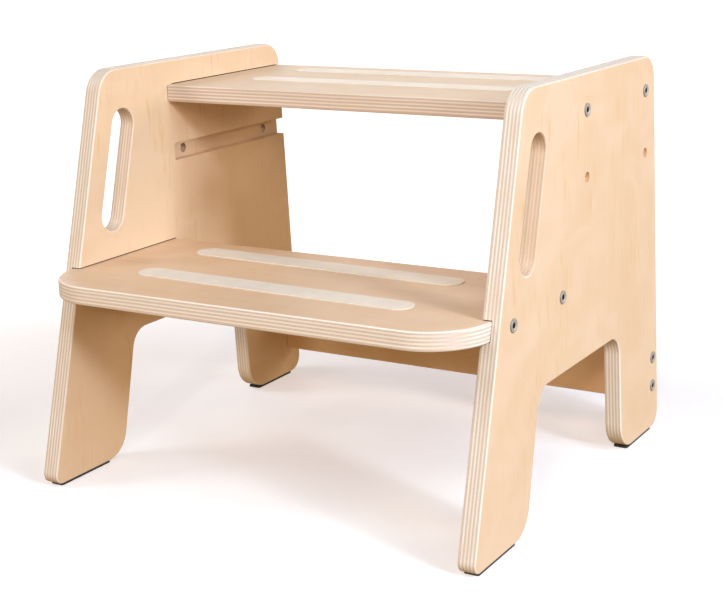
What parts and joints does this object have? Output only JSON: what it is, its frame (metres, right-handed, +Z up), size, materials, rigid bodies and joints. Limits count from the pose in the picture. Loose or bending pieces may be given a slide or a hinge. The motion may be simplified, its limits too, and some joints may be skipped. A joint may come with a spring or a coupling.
{
  "type": "two-step toddler step stool",
  "caption": "Wooden step stool for toddlers: arched plywood side panels with hand slots carry a deep rounded lower tread and a raised rear tread, both with anti-slip strips.",
  "frame": {"origin": "on the floor, at the centre of the stool's footprint", "axes": "+Z up, +X to the right of a user facing the stool, -Y towards that user, so the lower step is at -Y and the upper step at +Y"},
  "size_m": [0.413, 0.3674, 0.343],
  "materials": {
    "birch_ply": "clear satin lacquer on birch plywood, plies showing on every edge",
    "strip": "matt off-white translucent anti-slip tape",
    "pad": "matt black rubber",
    "bolt_steel": "bright zinc-plated steel",
    "nut_steel": "dull zinc-plated steel"
  },
  "bodies": {
    "root": {"left_panel": "birch_ply", "right_panel": "birch_ply", "lower_step": "birch_ply", "upper_step": "birch_ply", "rear_stretcher": "birch_ply", "lower_strip_front": "strip", "lower_strip_rear": "strip", "upper_strip_front": "strip", "upper_strip_rear": "strip", "pad_front_left": "pad", "pad_front_right": "pad", "pad_rear_left": "pad", "pad_rear_right": "pad", "bolt_upper_front_left": "bolt_steel", "bolt_upper_front_right": "bolt_steel", "bolt_upper_rear_left": "bolt_steel", "bolt_upper_rear_right": "bolt_steel", "bolt_lower_front_left": "bolt_steel", "bolt_lower_front_right": "bolt_steel", "bolt_lower_rear_left": "bolt_steel", "bolt_lower_rear_right": "bolt_steel", "bolt_stretcher_low_left": "bolt_steel", "bolt_stretcher_low_right": "bolt_steel", "bolt_stretcher_high_left": "bolt_steel", "bolt_stretcher_high_right": "bolt_steel", "nut_upper_front_left": "nut_steel", "nut_upper_front_right": "nut_steel", "nut_upper_rear_left": "nut_steel", "nut_upper_rear_right": "nut_steel", "nut_lower_front_left": "nut_steel", "nut_lower_front_right": "nut_steel", "nut_lower_rear_left": "nut_steel", "nut_lower_rear_right": "nut_steel", "nut_stretcher_low_left": "nut_steel", "nut_stretcher_low_right": "nut_steel", "nut_stretcher_high_left": "nut_steel", "nut_stretcher_high_right": "nut_steel"}
  },
  "joints": []
}
